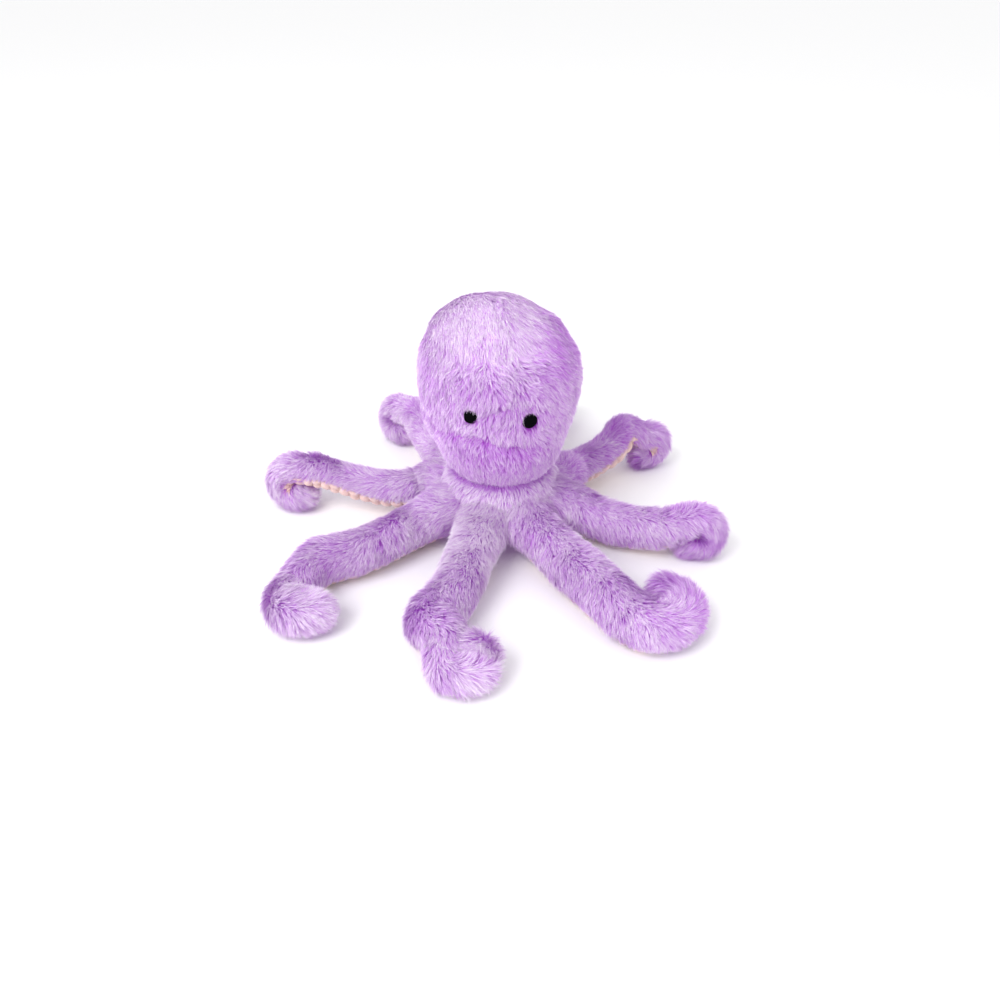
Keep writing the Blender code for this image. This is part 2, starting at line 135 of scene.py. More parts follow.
# Small helpers on arrays of points.
def unit(v):
    return v / np.maximum(np.linalg.norm(v, axis=-1, keepdims=True), 1e-9)


def dot(a, b):
    return (a * b).sum(-1, keepdims=True)


def mix(pair, t):
    return pair[0] + (pair[1] - pair[0]) * t


def smooth(low, high, x):
    """0 up to low, 1 from high on, and an even rise between them."""
    t = np.clip((x - low) / (high - low), 0.0, 1.0)
    return t * t * (3.0 - 2.0 * t)


def weighed(weights, zones):
    """The sum over the zones of a point's share of each times its weight."""
    return sum(weight * zones[name] for name, weight in weights.items())


class Ripple:
    """A smooth random field through space, about 1 in size, with bumps about size across."""

    def __init__(self, seed, size, waves=20):
        rng = np.random.default_rng(seed)
        way = unit(rng.normal(size=(waves, 3)))
        self.way = way * (math.tau / (2.0 * size * rng.uniform(0.7, 1.5, waves)))[:, None]
        self.phase = rng.uniform(0, math.tau, waves)
        self.scale = math.sqrt(2.0 / waves)

    def __call__(self, points):
        return np.sin(points @ self.way.T + self.phase).sum(-1) * self.scale


def catmull(rows, steps):
    """A smooth line through the rows but the first and last, steps places from each to the next."""
    rows = np.asarray(rows, float)
    out = []
    for i in range(1, len(rows) - 2):
        a, b, c, d = rows[i - 1 : i + 3]
        for k in range(steps):
            t = k / steps
            square = 2 * a - 5 * b + 4 * c - d
            cube = 3 * b - a - 3 * c + d
            out.append(0.5 * (2 * b + (c - a) * t + square * t**2 + cube * t**3))
    out.append(rows[-2])
    return np.array(out)


def lengths_along(line):
    return np.r_[0, np.cumsum(np.linalg.norm(np.diff(line, axis=0), axis=1))]


def evenly(line, lengths, count):
    """The line as count places, evenly spaced by the lengths along it."""
    marks = np.linspace(0, lengths[-1], count)
    return np.stack([np.interp(marks, lengths, column) for column in line.T], 1)


def turned_form(outline, columns):
    """The form that an outline (distance, height) makes round the upright axis, from the front round."""
    turns = np.linspace(0, math.tau, columns, endpoint=False)
    ring = np.stack([np.sin(turns), -np.cos(turns)], 1)
    flat = outline[:, None, :1] * ring[None]
    return np.concatenate([flat, np.repeat(outline[:, None, 1:], columns, 1)], -1)


def to_line(flat, places):
    """How far each flat point is from a line through the places."""
    away = np.full(flat.shape[:-1], np.inf)
    for start, end in zip(np.array(places[:-1]), np.array(places[1:])):
        reach = end - start
        share = np.clip(((flat - start) @ reach) / (reach @ reach), 0, 1)
        away = np.minimum(away, np.linalg.norm(flat - start - share[..., None] * reach, axis=-1))
    return away


def on_line(flat, places, width):
    """1 on the line through the places, fading to 0 beyond about its width."""
    return np.exp(-((to_line(flat, places) / width) ** 2))


# Forms are grids of points: rows run along the form, columns round it.
class Skin:
    """A grid of points with its normals, and the way down it and round it."""

    def __init__(self, points, wraps=True):
        self.points, self.wraps = points, wraps
        down = np.gradient(points, axis=0)
        if wraps:
            around = (np.roll(points, -1, 1) - np.roll(points, 1, 1)) / 2
        else:
            around = np.gradient(points, axis=1)
        self.normals = unit(np.cross(around, down))
        self.down, self.around = unit(down), unit(around)

    def face_outward(self, centre):
        if dot(self.normals, self.points - centre).mean() < 0:
            self.normals = -self.normals
        return self

    def closed(self, values):
        return np.concatenate([values, values[:, :1]], 1) if self.wraps else values

    def cell_areas(self):
        q = self.closed(self.points)
        return np.linalg.norm(np.cross(q[1:, :-1] - q[:-1, :-1], q[:-1, 1:] - q[:-1, :-1]), axis=-1)

    def sample(self, count, rng, weight=None):
        """Random places spread evenly over the area: cell coordinates, points, normals, down and around."""
        area = self.cell_areas()
        if weight is not None:
            area = area * weight
        pick = rng.choice(area.size, count, p=(area / area.sum()).ravel())
        row, column = np.divmod(pick, area.shape[1])
        u, v = rng.random(count), rng.random(count)

        def blend(values):
            w = self.closed(values)
            near = w[row, column] * (1 - u)[:, None] + w[row + 1, column] * u[:, None]
            far = w[row, column + 1] * (1 - u)[:, None] + w[row + 1, column + 1] * u[:, None]
            return near * (1 - v)[:, None] + far * v[:, None]

        ways = [unit(blend(values)) for values in (self.normals, self.down, self.around)]
        return (row + u, column + v), blend(self.points), *ways

    def mesh(self, name, cap=True):
        rows, columns = self.points.shape[:2]
        index = np.arange(rows * columns).reshape(rows, columns)
        q = self.closed(index)
        faces = np.stack([q[:-1, :-1], q[1:, :-1], q[1:, 1:], q[:-1, 1:]], -1).reshape(-1, 4).tolist()
        if cap and self.wraps:
            faces += [index[0].tolist(), index[-1][::-1].tolist()]
        mesh = bpy.data.meshes.new(name)
        mesh.from_pydata((self.points.reshape(-1, 3) * MM).tolist(), [], faces)
        turn_outward(mesh)
        return mesh


def turn_outward(mesh):
    bm = bmesh.new()
    bm.from_mesh(mesh)
    bmesh.ops.recalc_face_normals(bm, faces=bm.faces)
    bm.to_mesh(mesh)
    bm.free()
    mesh.shade_smooth()


def add_piece(mesh, material):
    """A piece named after its mesh."""
    piece = bpy.data.objects.new(mesh.name, mesh)
    mesh.materials.append(material)
    bpy.context.scene.collection.objects.link(piece)
    return piece


# Pile: fibres rooted in a skin. Neighbours share a tuft, whose tips draw together, and tufts share a lock.
FIBRE_WIDTH, SHORTEST = 0.29, 1.0
TUFT, LOCK = 1.15, 7.0
# No fibre reaches lower than this.
LOWEST = 0.15
# How far fibres turn aside and lift, in radians: by lock, by tuft and each for itself.
TURN_STRAY = (1.05, 0.9, 0.11)
LIFT_STRAY = (0.35, 0.40, 0.07)
# How much their length differs: by tuft and each for itself.
LENGTH_STRAY = (0.25, 0.10)
# A fibre is two parts, the lower steeper than its lift, the upper flatter and sagging a little.
LOWER_PART, UPPER_PART = 0.42, 0.58
STEEPER, FLATTER, SAG = 0.34, 0.14, 0.08
STEEP_RANGE, FLAT_RANGE = (0.1, 1.45), (0.02, 1.3)
# How far tips gather: how much that differs, the most, and the middle's part of it.
GATHER_STRAY, MOST_GATHER, GATHER_MIDDLE = 0.15, 0.85, 0.35
# A fibre's width: how it differs, the root's share of it, and how far the ribbon rolls about itself.
WIDTH_RANGE, ROOT_WIDTH, ROLL_STRAY = (0.7, 1.25), 0.8, 0.25
# The share of fibres that still cross bare ground.
OVER_BARE = 0.04
# Wisps are fibres that stay out of their tuft: the share of them, and their length, width, gather and tone.
WISPS = 0.22
WISP_LENGTH, WISP_WIDTH, WISP_GATHER, WISP_TONE = 1.12, 0.7, 0.25, 0.20
# Shade from 0, deep, to 1, pale: the middle, and how it differs fibre by fibre, by tuft and by lock.
SHADE, SHADE_RANGE = 0.44, (0.02, 0.98)
SHADE_STRAY = (0.30, 0.22, 0.12)
# One fibre's triangles, and how far along it each of their corners lies on the material's map.
FIBRE_TRIANGLES = [0, 1, 2, 0, 2, 3, 3, 2, 4]
FIBRE_ALONG = [0.03, 0.03, 0.47, 0.03, 0.47, 0.47, 0.47, 0.47, 0.97]
DENSITY = 1.0
# Odd numbers that stir the bits of whole numbers, and the bits that are kept.
STIR_FIRST, STIR_AGAIN, STIR_SEED = 40503, 60493, 2654435
STIR_PLACE = (73856093, 19349663, 83492791)
BITS, LAST_BITS = 0xFFFFFFF, 0xFFFF


def chance(key, salt):
    """A steady random value from -0.5 to 0.5 for each whole number, another one for each salt."""
    mixed = (key ^ (key >> 15)) * (2 * salt + STIR_FIRST) & BITS
    mixed = (mixed ^ (mixed >> 13)) * STIR_AGAIN & BITS
    return ((mixed ^ (mixed >> 9)) & LAST_BITS) / LAST_BITS - 0.5


def tufts(points, size, seed):
    """A number for the tuft that each root belongs to: the nearest of scattered centres about size apart."""
    cell = np.floor(points / size).astype(np.int64)
    nearest = np.full(len(points), np.inf)
    tuft = np.zeros(len(points), np.int64)
    for step in itertools.product((-1, 0, 1), repeat=3):
        spot = cell + step
        key = (spot * STIR_PLACE).sum(1) + seed * STIR_SEED
        centre = spot + 0.5 + 0.9 * np.stack([chance(key, k) for k in (1, 2, 3)], 1)
        gap = ((points / size - centre) ** 2).sum(1)
        closer = gap < nearest
        nearest[closer], tuft[closer] = gap[closer], key[closer]
    return tuft


def group_mean(values, group):
    count = group.max() + 1
    total = np.stack([np.bincount(group, values[:, k], count) for k in range(values.shape[1])], 1)
    return (total / np.bincount(group, minlength=count)[:, None])[group]


def grow(name, roots, normals, flow, length, lift, mess, seed, tone, pull, bare=None):
    """A pile mesh. flow is the combed way, lift its angle off the skin, and mess how much the tufts stray.

    tone makes fibres paler or darker and carries the painted light and shade of each zone, pull draws a
    tuft's tips together, and few that cross bare ground are kept.
    """
    rng = np.random.default_rng(seed)
    count = len(roots)
    lock, tuft = tufts(roots, LOCK, 5), tufts(roots, TUFT, 6)
    group = np.unique(tuft, return_inverse=True)[1]
    wisp = rng.random(count) < WISPS

    by_lock, by_tuft, single = TURN_STRAY
    stray = (chance(lock, 4) * by_lock + chance(tuft, 5) * by_tuft) * mess + rng.normal(0, single, count)
    flow = unit(flow - normals * dot(flow, normals))
    beside = np.cross(normals, flow)
    flow = flow * np.cos(stray)[:, None] + beside * np.sin(stray)[:, None]

    by_lock, by_tuft, single = LIFT_STRAY
    stray = (chance(lock, 6) * by_lock + chance(tuft, 7) * by_tuft) * mess
    lift = lift + stray + rng.normal(0, single, count)
    by_tuft, single = LENGTH_STRAY
    length = length * (1 + by_tuft * chance(tuft, 8) + rng.normal(0, single, count))
    length = np.maximum(length * np.where(wisp, WISP_LENGTH, 1.0), SHORTEST)

    steep = np.clip(lift + STEEPER, *STEEP_RANGE)[:, None]
    flat = np.clip(lift - FLATTER, *FLAT_RANGE)[:, None]
    first = normals * np.sin(steep) + flow * np.cos(steep)
    second = unit(normals * np.sin(flat) + flow * np.cos(flat) + [0, 0, -SAG])
    middle = roots + first * length[:, None] * LOWER_PART
    tip = middle + second * length[:, None] * UPPER_PART

    gather = np.clip(pull + rng.normal(0, GATHER_STRAY, count), 0, MOST_GATHER)
    gather = (gather * np.where(wisp, WISP_GATHER, 1.0))[:, None]
    tip = tip + (group_mean(tip, group) - tip) * gather
    middle = middle + (group_mean(middle, group) - middle) * gather * GATHER_MIDDLE

    roll = rng.normal(0, ROLL_STRAY, count)[:, None]
    way = unit(tip - roots)
    wide = unit(np.cross(way, normals))
    wide = wide * np.cos(roll) + np.cross(way, wide) * np.sin(roll)
    width = FIBRE_WIDTH * rng.uniform(*WIDTH_RANGE, count) * np.where(wisp, WISP_WIDTH, 1.0)
    half = wide * (width / 2)[:, None]
    root_half = half * ROOT_WIDTH
    corners = np.stack([roots - root_half, roots + root_half, middle + half, middle - half, tip], 1)
    corners[..., 2] = np.maximum(corners[..., 2], LOWEST)

    if bare is not None:
        kept = ~(bare(tip) | bare(middle)) | (rng.random(count) < OVER_BARE)
        corners, wisp, tuft, lock, tone = (values[kept] for values in (corners, wisp, tuft, lock, tone))
    single, by_tuft, by_lock = SHADE_STRAY
    shade = SHADE + single * rng.normal(size=len(corners))
    shade = shade + by_tuft * chance(tuft, 9) + by_lock * chance(lock, 10)
    shade = np.clip(shade + tone + np.where(wisp, WISP_TONE, 0.0), *SHADE_RANGE)
    return fibre_mesh(name, corners, shade)


def fibre_mesh(name, corners, shade):
    count, each = corners.shape[:2]
    drawn = len(FIBRE_TRIANGLES)
    mesh = bpy.data.meshes.new(name)
    mesh.vertices.add(count * each)
    mesh.vertices.foreach_set("co", (corners.reshape(-1) * MM).astype(np.float32))
    loops = ((np.arange(count) * each)[:, None] + np.array(FIBRE_TRIANGLES)).reshape(-1)
    mesh.loops.add(len(loops))
    mesh.loops.foreach_set("vertex_index", loops.astype(np.int32))
    mesh.polygons.add(len(loops) // 3)
    mesh.polygons.foreach_set("loop_start", np.arange(0, len(loops), 3, dtype=np.int32))
    mesh.update(calc_edges=True)
    layer = mesh.uv_layers.new(name="OFBake")
    uv = np.stack([np.repeat(shade, drawn), np.tile(FIBRE_ALONG, count)], 1)
    layer.data.foreach_set("uv", uv.reshape(-1).astype(np.float32))
    mesh.shade_smooth()
    return mesh


# Materials. A Mix node's colour sockets go by number, since other sockets have the same names.
MIX_FACTOR, MIX_LOW, MIX_HIGH, MIX_COLOUR = 0, 6, 7, 2


class Shade:
    """A socket with arithmetic: an expression adds the Math nodes that work it out."""

    def __init__(self, maker, socket):
        self.maker, self.socket = maker, socket

    def _math(self, operation, *values):
        return self.maker.node("ShaderNodeMath", dict(operation=operation), dict(enumerate(values)))

    def __add__(self, other):
        return self._math("ADD", self, other)

    def __sub__(self, other):
        return self._math("SUBTRACT", self, other)

    def __rsub__(self, other):
        return self._math("SUBTRACT", other, self)

    def __mul__(self, other):
        return self._math("MULTIPLY", self, other)

    __radd__ = __add__
    __rmul__ = __mul__


class Finish:
    """A material under construction."""

    def __init__(self, name, roughness, **plain):
        self.material = bpy.data.materials.new(name)
        self.material.use_nodes = True
        self.tree = self.material.node_tree
        self.surface = self.tree.nodes["Principled BSDF"]
        self.surface.inputs["Roughness"].default_value = roughness
        for socket, value in plain.items():
            self.surface.inputs[socket.replace("_", " ")].default_value = value

    def node(self, kind, settings=None, inputs=None, output=0):
        made = self.tree.nodes.new(kind)
        settings = dict(settings or {})
        stops = settings.pop("stops", None)
        for key, value in settings.items():
            setattr(made, key, value)
        if stops:
            ramp = made.color_ramp
            while len(ramp.elements) < len(stops):
                ramp.elements.new(0.5)
            for element, (place, colour) in zip(ramp.elements, stops):
                element.position = place
                element.color = colour
        for key, value in (inputs or {}).items():
            if isinstance(value, Shade):
                self.tree.links.new(value.socket, made.inputs[key])
            else:
                made.inputs[key].default_value = value
        return Shade(self, made.outputs[output])

    def place_on_piece(self):
        return self.node("ShaderNodeTexCoord", output="Object")

    def noise(self, where, scale, detail):
        return self.node("ShaderNodeTexNoise", inputs={"Vector": where, "Scale": scale, "Detail": detail})

    def blend(self, factor, low, high):
        inputs = {MIX_FACTOR: factor, MIX_LOW: low, MIX_HIGH: high}
        return self.node("ShaderNodeMix", dict(data_type="RGBA"), inputs, output=MIX_COLOUR)

    def bump(self, height, strength, distance):
        settings = {"Strength": strength, "Distance": distance, "Height": height}
        return self.node("ShaderNodeBump", inputs=settings)

    def wear(self, **links):
        for socket, value in links.items():
            self.tree.links.new(value.socket, self.surface.inputs[socket.replace("_", " ")])
        return self.material


def linear(red, green, blue):
    """A colour given in screen values, 0 to 255."""
    values = [v / 255.0 for v in (red, green, blue)]
    return tuple(v / 12.92 if v <= 0.04045 else ((v + 0.055) / 1.055) ** 2.4 for v in values) + (1.0,)


def pile_finish():
    """Deep lilac at the root and nearly white at the tip, with a painted glow: deep purple emitted at the
    roots, fading to none at the tips.
    """
    finish = Finish("lilac_pile", 0.85, Sheen_Weight=0.06, Specular_IOR_Level=0.06, Emission_Strength=0.13)
    finish.surface.inputs["Sheen Tint"].default_value = (0.9, 0.7, 1.0, 1.0)
    where = finish.node("ShaderNodeUVMap", dict(uv_map="OFBake"))
    shade = finish.node("ShaderNodeSeparateXYZ", inputs={0: where}, output="X")
    along = finish.node("ShaderNodeSeparateXYZ", inputs={0: where}, output="Y")
    stops = [
        (0.0, linear(170, 70, 200)),
        (0.3, linear(201, 138, 224)),
        (0.65, linear(224, 199, 233)),
        (1.0, linear(246, 241, 248)),
    ]
    colour = finish.node("ShaderNodeValToRGB", dict(stops=stops), {0: along * 0.6 + shade * 0.75 - 0.20})
    painted_root_glow = finish.blend(along, linear(186, 78, 204), linear(0, 0, 0))
    return finish.wear(Base_Color=colour, Emission_Color=painted_root_glow)


# Pile backing: its own purple, also emitted at strength 0.11 as a painted glow that lightens the shade
# between fibres.
def backing_finish():
    finish = Finish("pile_backing", 0.95, Specular_IOR_Level=0.06, Emission_Strength=0.11)
    grain = finish.noise(finish.place_on_piece(), 900.0, 3.0)
    colour = finish.blend(grain, linear(170, 80, 200), linear(190, 106, 214))
    return finish.wear(Base_Color=colour, Emission_Color=colour, Normal=finish.bump(grain, 0.6, 0.001))


def bobble_finish():
    finish = Finish("peach_bobble", 0.9, Sheen_Weight=0.3, Sheen_Roughness=0.5)
    where = finish.place_on_piece()
    fuzz = finish.noise(where, 1400.0, 4.0)
    tone = finish.noise(where, 260.0, 2.0)
    colour = finish.blend(fuzz * 0.6 + tone * 0.4, linear(212, 164, 156), linear(244, 224, 218))
    return finish.wear(Base_Color=colour, Normal=finish.bump(fuzz, 0.5, 0.0006))


def thread_finish():
    finish = Finish("black_thread", 0.6, Specular_IOR_Level=0.03)
    fibre = finish.noise(finish.place_on_piece(), 2500.0, 2.0)
    colour = finish.blend(fibre, linear(1, 1, 2), linear(8, 8, 11))
    return finish.wear(Base_Color=colour, Normal=finish.bump(fibre, 0.3, 0.0003))


pile, backing, bobble, thread = pile_finish(), backing_finish(), bobble_finish(), thread_finish()

# Head. Its outline runs from crown to chin: distance from its axis, height.
HEAD_OUTLINE = [
    (0.6, 169), (20.2, 165.7), (34.3, 158.3), (44.1, 148.1), (50.4, 135.6), (53.7, 123), (54.5, 110.5),
    (53.4, 97.9), (50.1, 85.4), (46.1, 74), (41.1, 62.7), (37.1, 54.9), (33.5, 49.2), (29.5, 47.5),
]
BEFORE_OUTLINE, AFTER_OUTLINE = (-0.6, 169.0), (26.0, 47.0)
HEAD_MIDDLE = np.array([0.0, 0.0, 106.0])
HEAD_ROWS, HEAD_COLUMNS = 150, 220
HEAD_LAYERS, LAYER_FIBRES, HEAD_SEED = 3, 64000, 40
HEAD_FUR_LOWEST = 46.0
# The crown leans to the left by this much.
HEAD_LEAN = 4.5
# Each eye: place across, height and radius.
EYES = {"left_eye": (-17.6, 111.6, 4.4), "right_eye": (17.5, 108.8, 5.0)}
# How far pile may stray over an eye's rim, and how far inside the rim it is still rooted.
EYE_RAGGED, EYE_INSIDE = 0.9, 0.4
# Fibres this near to an eye, and in front of this plane, stop at its rim.
NEAR_EYE, FACE_FRONT = 22, -20
# How fibres stop at a rim: their reach for each mm of room, how that differs, and the shortest.
RIM_REACH, RIM_STRAY, RIM_SHORTEST = 0.8, (-0.8, 1.0), 2.2
# Swellings and hollows of the stuffed head: place, how far each spreads, how proud it stands.
HEAD_SWELLS = [
    ((-51, 0, 126), 24, -1.2),
    ((-30, 8, 158), 17, 1.8),
    ((28, 10, 158), 17, -1.8),
    ((51, 0, 132), 8, 1.6),
    ((40, 14, 149), 9, 2.2),
    ((51, -4, 122), 13, -1.6),
    ((45, -8, 84), 20, -2),
    ((-8, 6, 163), 22, 1.2),
    ((-4, -45, 134), 15, 1.6),
    ((0, -47, 79), 17, 3.4),
    ((-24, -42, 76), 15, 1.6),
    ((25, -41, 74), 15, 1.4),
    ((-18, -50, 104), 8, 0.8),
    ((10, -50, 104), 9, 1),
    ((-34, -33, 98), 12, 1),
]
# Creases: the places that each runs through (across, height), its width and its depth.
HEAD_CREASES = [
    ([(-9, 114), (0, 119), (8.5, 121), (16, 119), (24, 114)], 2.8, 1.3),
    ([(-46, 99), (-37, 103.5), (-27, 104)], 3, 0.9),
    ([(-38, 95), (-26, 98), (-12, 97), (2, 92.5), (10, 91)], 4.2, 1.7),
    ([(10, 93), (17, 90), (23, 85.5)], 3.4, 0.8),
]
# The depth of a full crease, and how far above it the pile stands proud and how wide.
FULL_CREASE, ABOVE_CREASE, ABOVE_WIDTH = 1.5, 4.5, 3.5
# The seam over the crown: its places (across, back), its depth, and the widths of its groove and of the
# painted shade along it.
CROWN_SEAM = [(0, 2), (0.8, -6), (3, -15), (6.5, -23)]
SEAM_DEPTH, SEAM_WIDTH, SEAM_SHADE_WIDTH = 0.8, 1.9, 1.5
# The whorl on the brow (across, height), and where the crown's pile runs from, behind it (across, back).
WHORL, WHORL_SPREAD = (-8.0, 145.0), 17.0
CROWN_BACK = (-14.0, 47.0)
# What each zone of the head adds to its fibres.
HEAD_MESS = dict(all=0.56, mess_ripple=0.10, shaggy=0.60, crown=-0.18, lower=0.25)
HEAD_LIFT = dict(all=0.48, shaggy=0.16, crown=-0.30, lift_ripple=0.05, lower=0.14, chin=-0.10)
HEAD_LENGTH = dict(all=6.5, shaggy=0.7, crown=0.3, lower=-0.8, chin=-0.6)
HEAD_SHORTER = dict(all=1.0, above_crease=-0.20, in_crease=-0.10)
HEAD_PULL = dict(all=0.20, shaggy=0.26, lower=0.34)
# The head's tones are all painted light and shade: paler on top and just above the creases, and darker on the
# temple at +x away from the key light, in the creases, along the crown seam, below the crown, on the lower
# face and at the neck.
HEAD_PAINTED_LIGHT = dict(
    painted_light_top=0.20, temple=-0.22, in_crease=-0.20, above_crease=0.08, painted_shade_seam=-0.22, painted_shade_below_crown=-0.06,
    lower=-0.18, painted_shade_neck=-0.40,
)


def head_points():
    outline = catmull(np.vstack([[BEFORE_OUTLINE], HEAD_OUTLINE, [AFTER_OUTLINE]]), 10)
    outline = evenly(outline, lengths_along(outline), HEAD_ROWS)
    way = unit(np.gradient(outline, axis=0))
    inward = np.stack([way[:, 1], -way[:, 0]], 1)
    line = outline + inward * HEAD_PILE
    line[:, 0] = np.maximum(line[:, 0], 0.4)
    return shape_head(turned_form(line, HEAD_COLUMNS))


def face_side(p):
    return smooth(5, 20, -p[..., 1])


def on_top(p):
    return smooth(150, 158, p[..., 2])


def shape_head(p):
    """The stuffing's unevenness: the crown leans to the left, and folds cross the face."""
    outward = unit(p - HEAD_MIDDLE)
    push = Ripple(11, 26.0)(p) * 0.45 + Ripple(12, 12.0)(p) * 0.30
    for place, spread, height in HEAD_SWELLS:
        push = push + height * np.exp(-((p - np.array(place)) ** 2).sum(-1) / (0.8 * spread**2))
    front = face_side(p)
    for places, width, depth in HEAD_CREASES:
        push = push - front * depth * on_line(p[..., [0, 2]], places, width)
    push = push - on_top(p) * SEAM_DEPTH * on_line(p[..., :2], CROWN_SEAM, SEAM_WIDTH)
    p = p + outward * push[..., None]
    p[..., 0] -= HEAD_LEAN * smooth(108, 166, p[..., 2])
    return p


def near_crease(p):
    """1 in a crease of the face and 0 away from it, and the same for just above it."""
    inside, above = np.zeros(p.shape[:-1]), np.zeros(p.shape[:-1])
    front = face_side(p)
    for places, width, depth in HEAD_CREASES:
        share = front * depth / FULL_CREASE
        inside = np.maximum(inside, share * on_line(p[..., [0, 2]], places, width))
        lower = p[..., [0, 2]] - [0.0, ABOVE_CREASE]
        above = np.maximum(above, share * on_line(lower, places, ABOVE_WIDTH))
    return inside, above


def head_flow(p, down, around):
    """Forward over the crown, out of a whorl on the brow, to the right on the temple, and down the face."""
    x, y, z = p[:, :1], p[:, 1:2], p[:, 2:]
    swirl = Ripple(21, 26.0)(p)[:, None] * 0.30
    crown = smooth(134, 156, z) * (1 - smooth(40, 52, y))
    temple = smooth(3, 22, x) * smooth(124, 136, z) * (1 - smooth(0, 25, y))
    cheek = smooth(24, 44, x) * (1 - smooth(122, 136, z)) * smooth(66, 84, z)
    brow = smooth(-2, 20, x) * smooth(108, 124, z) * (1 - temple)
    away = np.concatenate([x - WHORL[0], 0 * x, z - WHORL[1]], 1)
    gap = np.linalg.norm(away, axis=1, keepdims=True)
    fan = np.exp(-((gap / WHORL_SPREAD) ** 2)) * (1 - smooth(144, 149, z)) * smooth(10, 25, -y)
    flow = down * (1 - 0.85 * temple) * (1 - crown) + around * (swirl + 0.35 * brow + 0.6 * cheek)
    forward = unit(np.concatenate([x - CROWN_BACK[0], y - CROWN_BACK[1], 0 * x - 25.0], 1))
    flow = flow + (forward + np.array([0.35, 0.0, 0.0])) * crown
    flow = flow + np.array([1.0, -0.1, -0.15]) * temple * 1.1
    return flow + unit(away) * fan * 1.3


def stop_at_eyes(p, flow):
    """How far each fibre may run before it meets an eye's rim, and which roots lie under an eye."""
    room, under = np.full(len(p), 99.0), np.zeros(len(p), bool)
    way = unit(flow[:, [0, 2]])
    for x, z, radius in EYES.values():
        to_eye = np.array([x, z]) - p[:, [0, 2]]
        gap = np.linalg.norm(to_eye, axis=1)
        ahead = (to_eye * way).sum(1)
        beside = np.sqrt(np.maximum(gap**2 - ahead**2, 0))
        front = (p[:, 1] < FACE_FRONT) & (gap < NEAR_EYE)
        meets = front & (ahead > 0) & (beside < radius)
        free = ahead - np.sqrt(np.maximum(radius**2 - beside**2, 0))
        room = np.where(meets, np.minimum(room, free), room)
        under |= front & (gap < radius - EYE_INSIDE)
    return room, under


def on_an_eye(p):
    """True for points that would lie over an eye."""
    over = np.zeros(len(p), bool)
    for x, z, radius in EYES.values():
        ragged = radius - EYE_RAGGED + EYE_RAGGED * Ripple(51, 1.6, 8)(p)
        over |= (p[:, 1] < FACE_FRONT) & (np.hypot(p[:, 0] - x, p[:, 2] - z) < ragged)
    return over


def head_density(p):
    """Closer on the crown, and thinner below the eyes, where the roots show."""
    thinner = 0.35 * smooth(30, 48, -p[..., 1]) * (1 - smooth(88, 100, p[..., 2]))
    return 1.0 + 0.5 * smooth(140, 156, p[..., 2]) - thinner


def head_zones(p):
    """Each point's share of every zone of the head."""
    x, z = p[:, 0], p[:, 2]
    crown = smooth(136, 154, z)
    in_crease, above_crease = near_crease(p)
    face = smooth(5, 40, -p[:, 1]) * smooth(80, 104, z)
    return dict(
        all=1.0,
        mess_ripple=Ripple(31, 22.0)(p),
        lift_ripple=Ripple(32, 16.0)(p),
        shaggy=face * (1 - smooth(142, 148, z)) * (1 - smooth(22, 38, np.abs(x + 4))),
        crown=crown,
        # Painted shade below the crown, painted light on the top, and painted shade on the temple at +x.
        painted_shade_below_crown=1 - crown,
        painted_light_top=smooth(130, 160, z) * (1 - smooth(10, 36, x)),
        temple=smooth(8, 34, x) * smooth(118, 134, z) * (1 - smooth(150, 160, z)),
        # Painted shade along the crown seam and in the face's creases, and painted light just above the
        # creases. The creases also shorten the pile.
        painted_shade_seam=on_top(p) * on_line(p[:, :2], CROWN_SEAM, SEAM_SHADE_WIDTH),
        in_crease=in_crease,
        above_crease=above_crease,
        # Painted shade on the lower face and at the neck. The lower face also sets mess, lift, length and
        # pull.
        lower=smooth(30, 48, -p[:, 1]) * (1 - smooth(86, 98, z)),
        chin=1 - smooth(52, 66, z),
        painted_shade_neck=1 - smooth(49, 54, z),
    )


def head_fur(name, seed):
    rng = np.random.default_rng(seed)
    weight = head_density(head.points[:-1])
    _, p, n, down, around = head.sample(int(LAYER_FIBRES * DENSITY), rng, weight)
    flow = unit(head_flow(p, down, around))
    zones = head_zones(p)
    length = weighed(HEAD_LENGTH, zones) * weighed(HEAD_SHORTER, zones)
    room, under = stop_at_eyes(p, flow)
    room = room / RIM_REACH + rng.uniform(*RIM_STRAY, len(p))
    length = np.minimum(length, np.maximum(room, RIM_SHORTEST))
    keep = ~under & (p[:, 2] > HEAD_FUR_LOWEST)
    lift, mess, tone, pull = (
        weighed(weights, zones)[keep] for weights in (HEAD_LIFT, HEAD_MESS, HEAD_PAINTED_LIGHT, HEAD_PULL)
    )
    p, n, flow, length = p[keep], n[keep], flow[keep], length[keep]
    return add_piece(grow(name, p, n, flow, length, lift, mess, seed + 1, tone, pull, on_an_eye), pile)


head = Skin(head_points()).face_outward(HEAD_MIDDLE)
head_skin = add_piece(head.mesh("head_skin"), backing)
head_pieces = [head_skin]
for layer in range(HEAD_LAYERS):
    head_pieces.append(head_fur(f"head_pile_{layer + 1}", HEAD_SEED + layer))

# Arms. How much fuller the curl's inner side is, how much wider the root, and how wide a tuck.
CURL_FULLER, ROOT_WIDER, TUCK_WIDTH = 2.4, 0.28, 2.5
# How many of the last stations lie in the curl, and of the first at the root.
CURL_STATIONS, ROOT_STATIONS = 25, 40
# The rounded end's rows, and the small opening, in radians, that its last row leaves.
CAP_ROWS, CAP_OPENING = 7, 0.06
# Weights that soften an arm's line.
SOFTENING = np.array([1, 2, 3, 2, 1]) / 9.0
SKIN_COLUMNS, FUR_COLUMNS = 40, 56
# Fibres for each square millimetre, the most that are drawn and the most that are kept.
FIBRES_PER_AREA, MOST_DRAWN, MOST_FIBRES = 6.5, 80000, 66000
ARM_SEED = 100
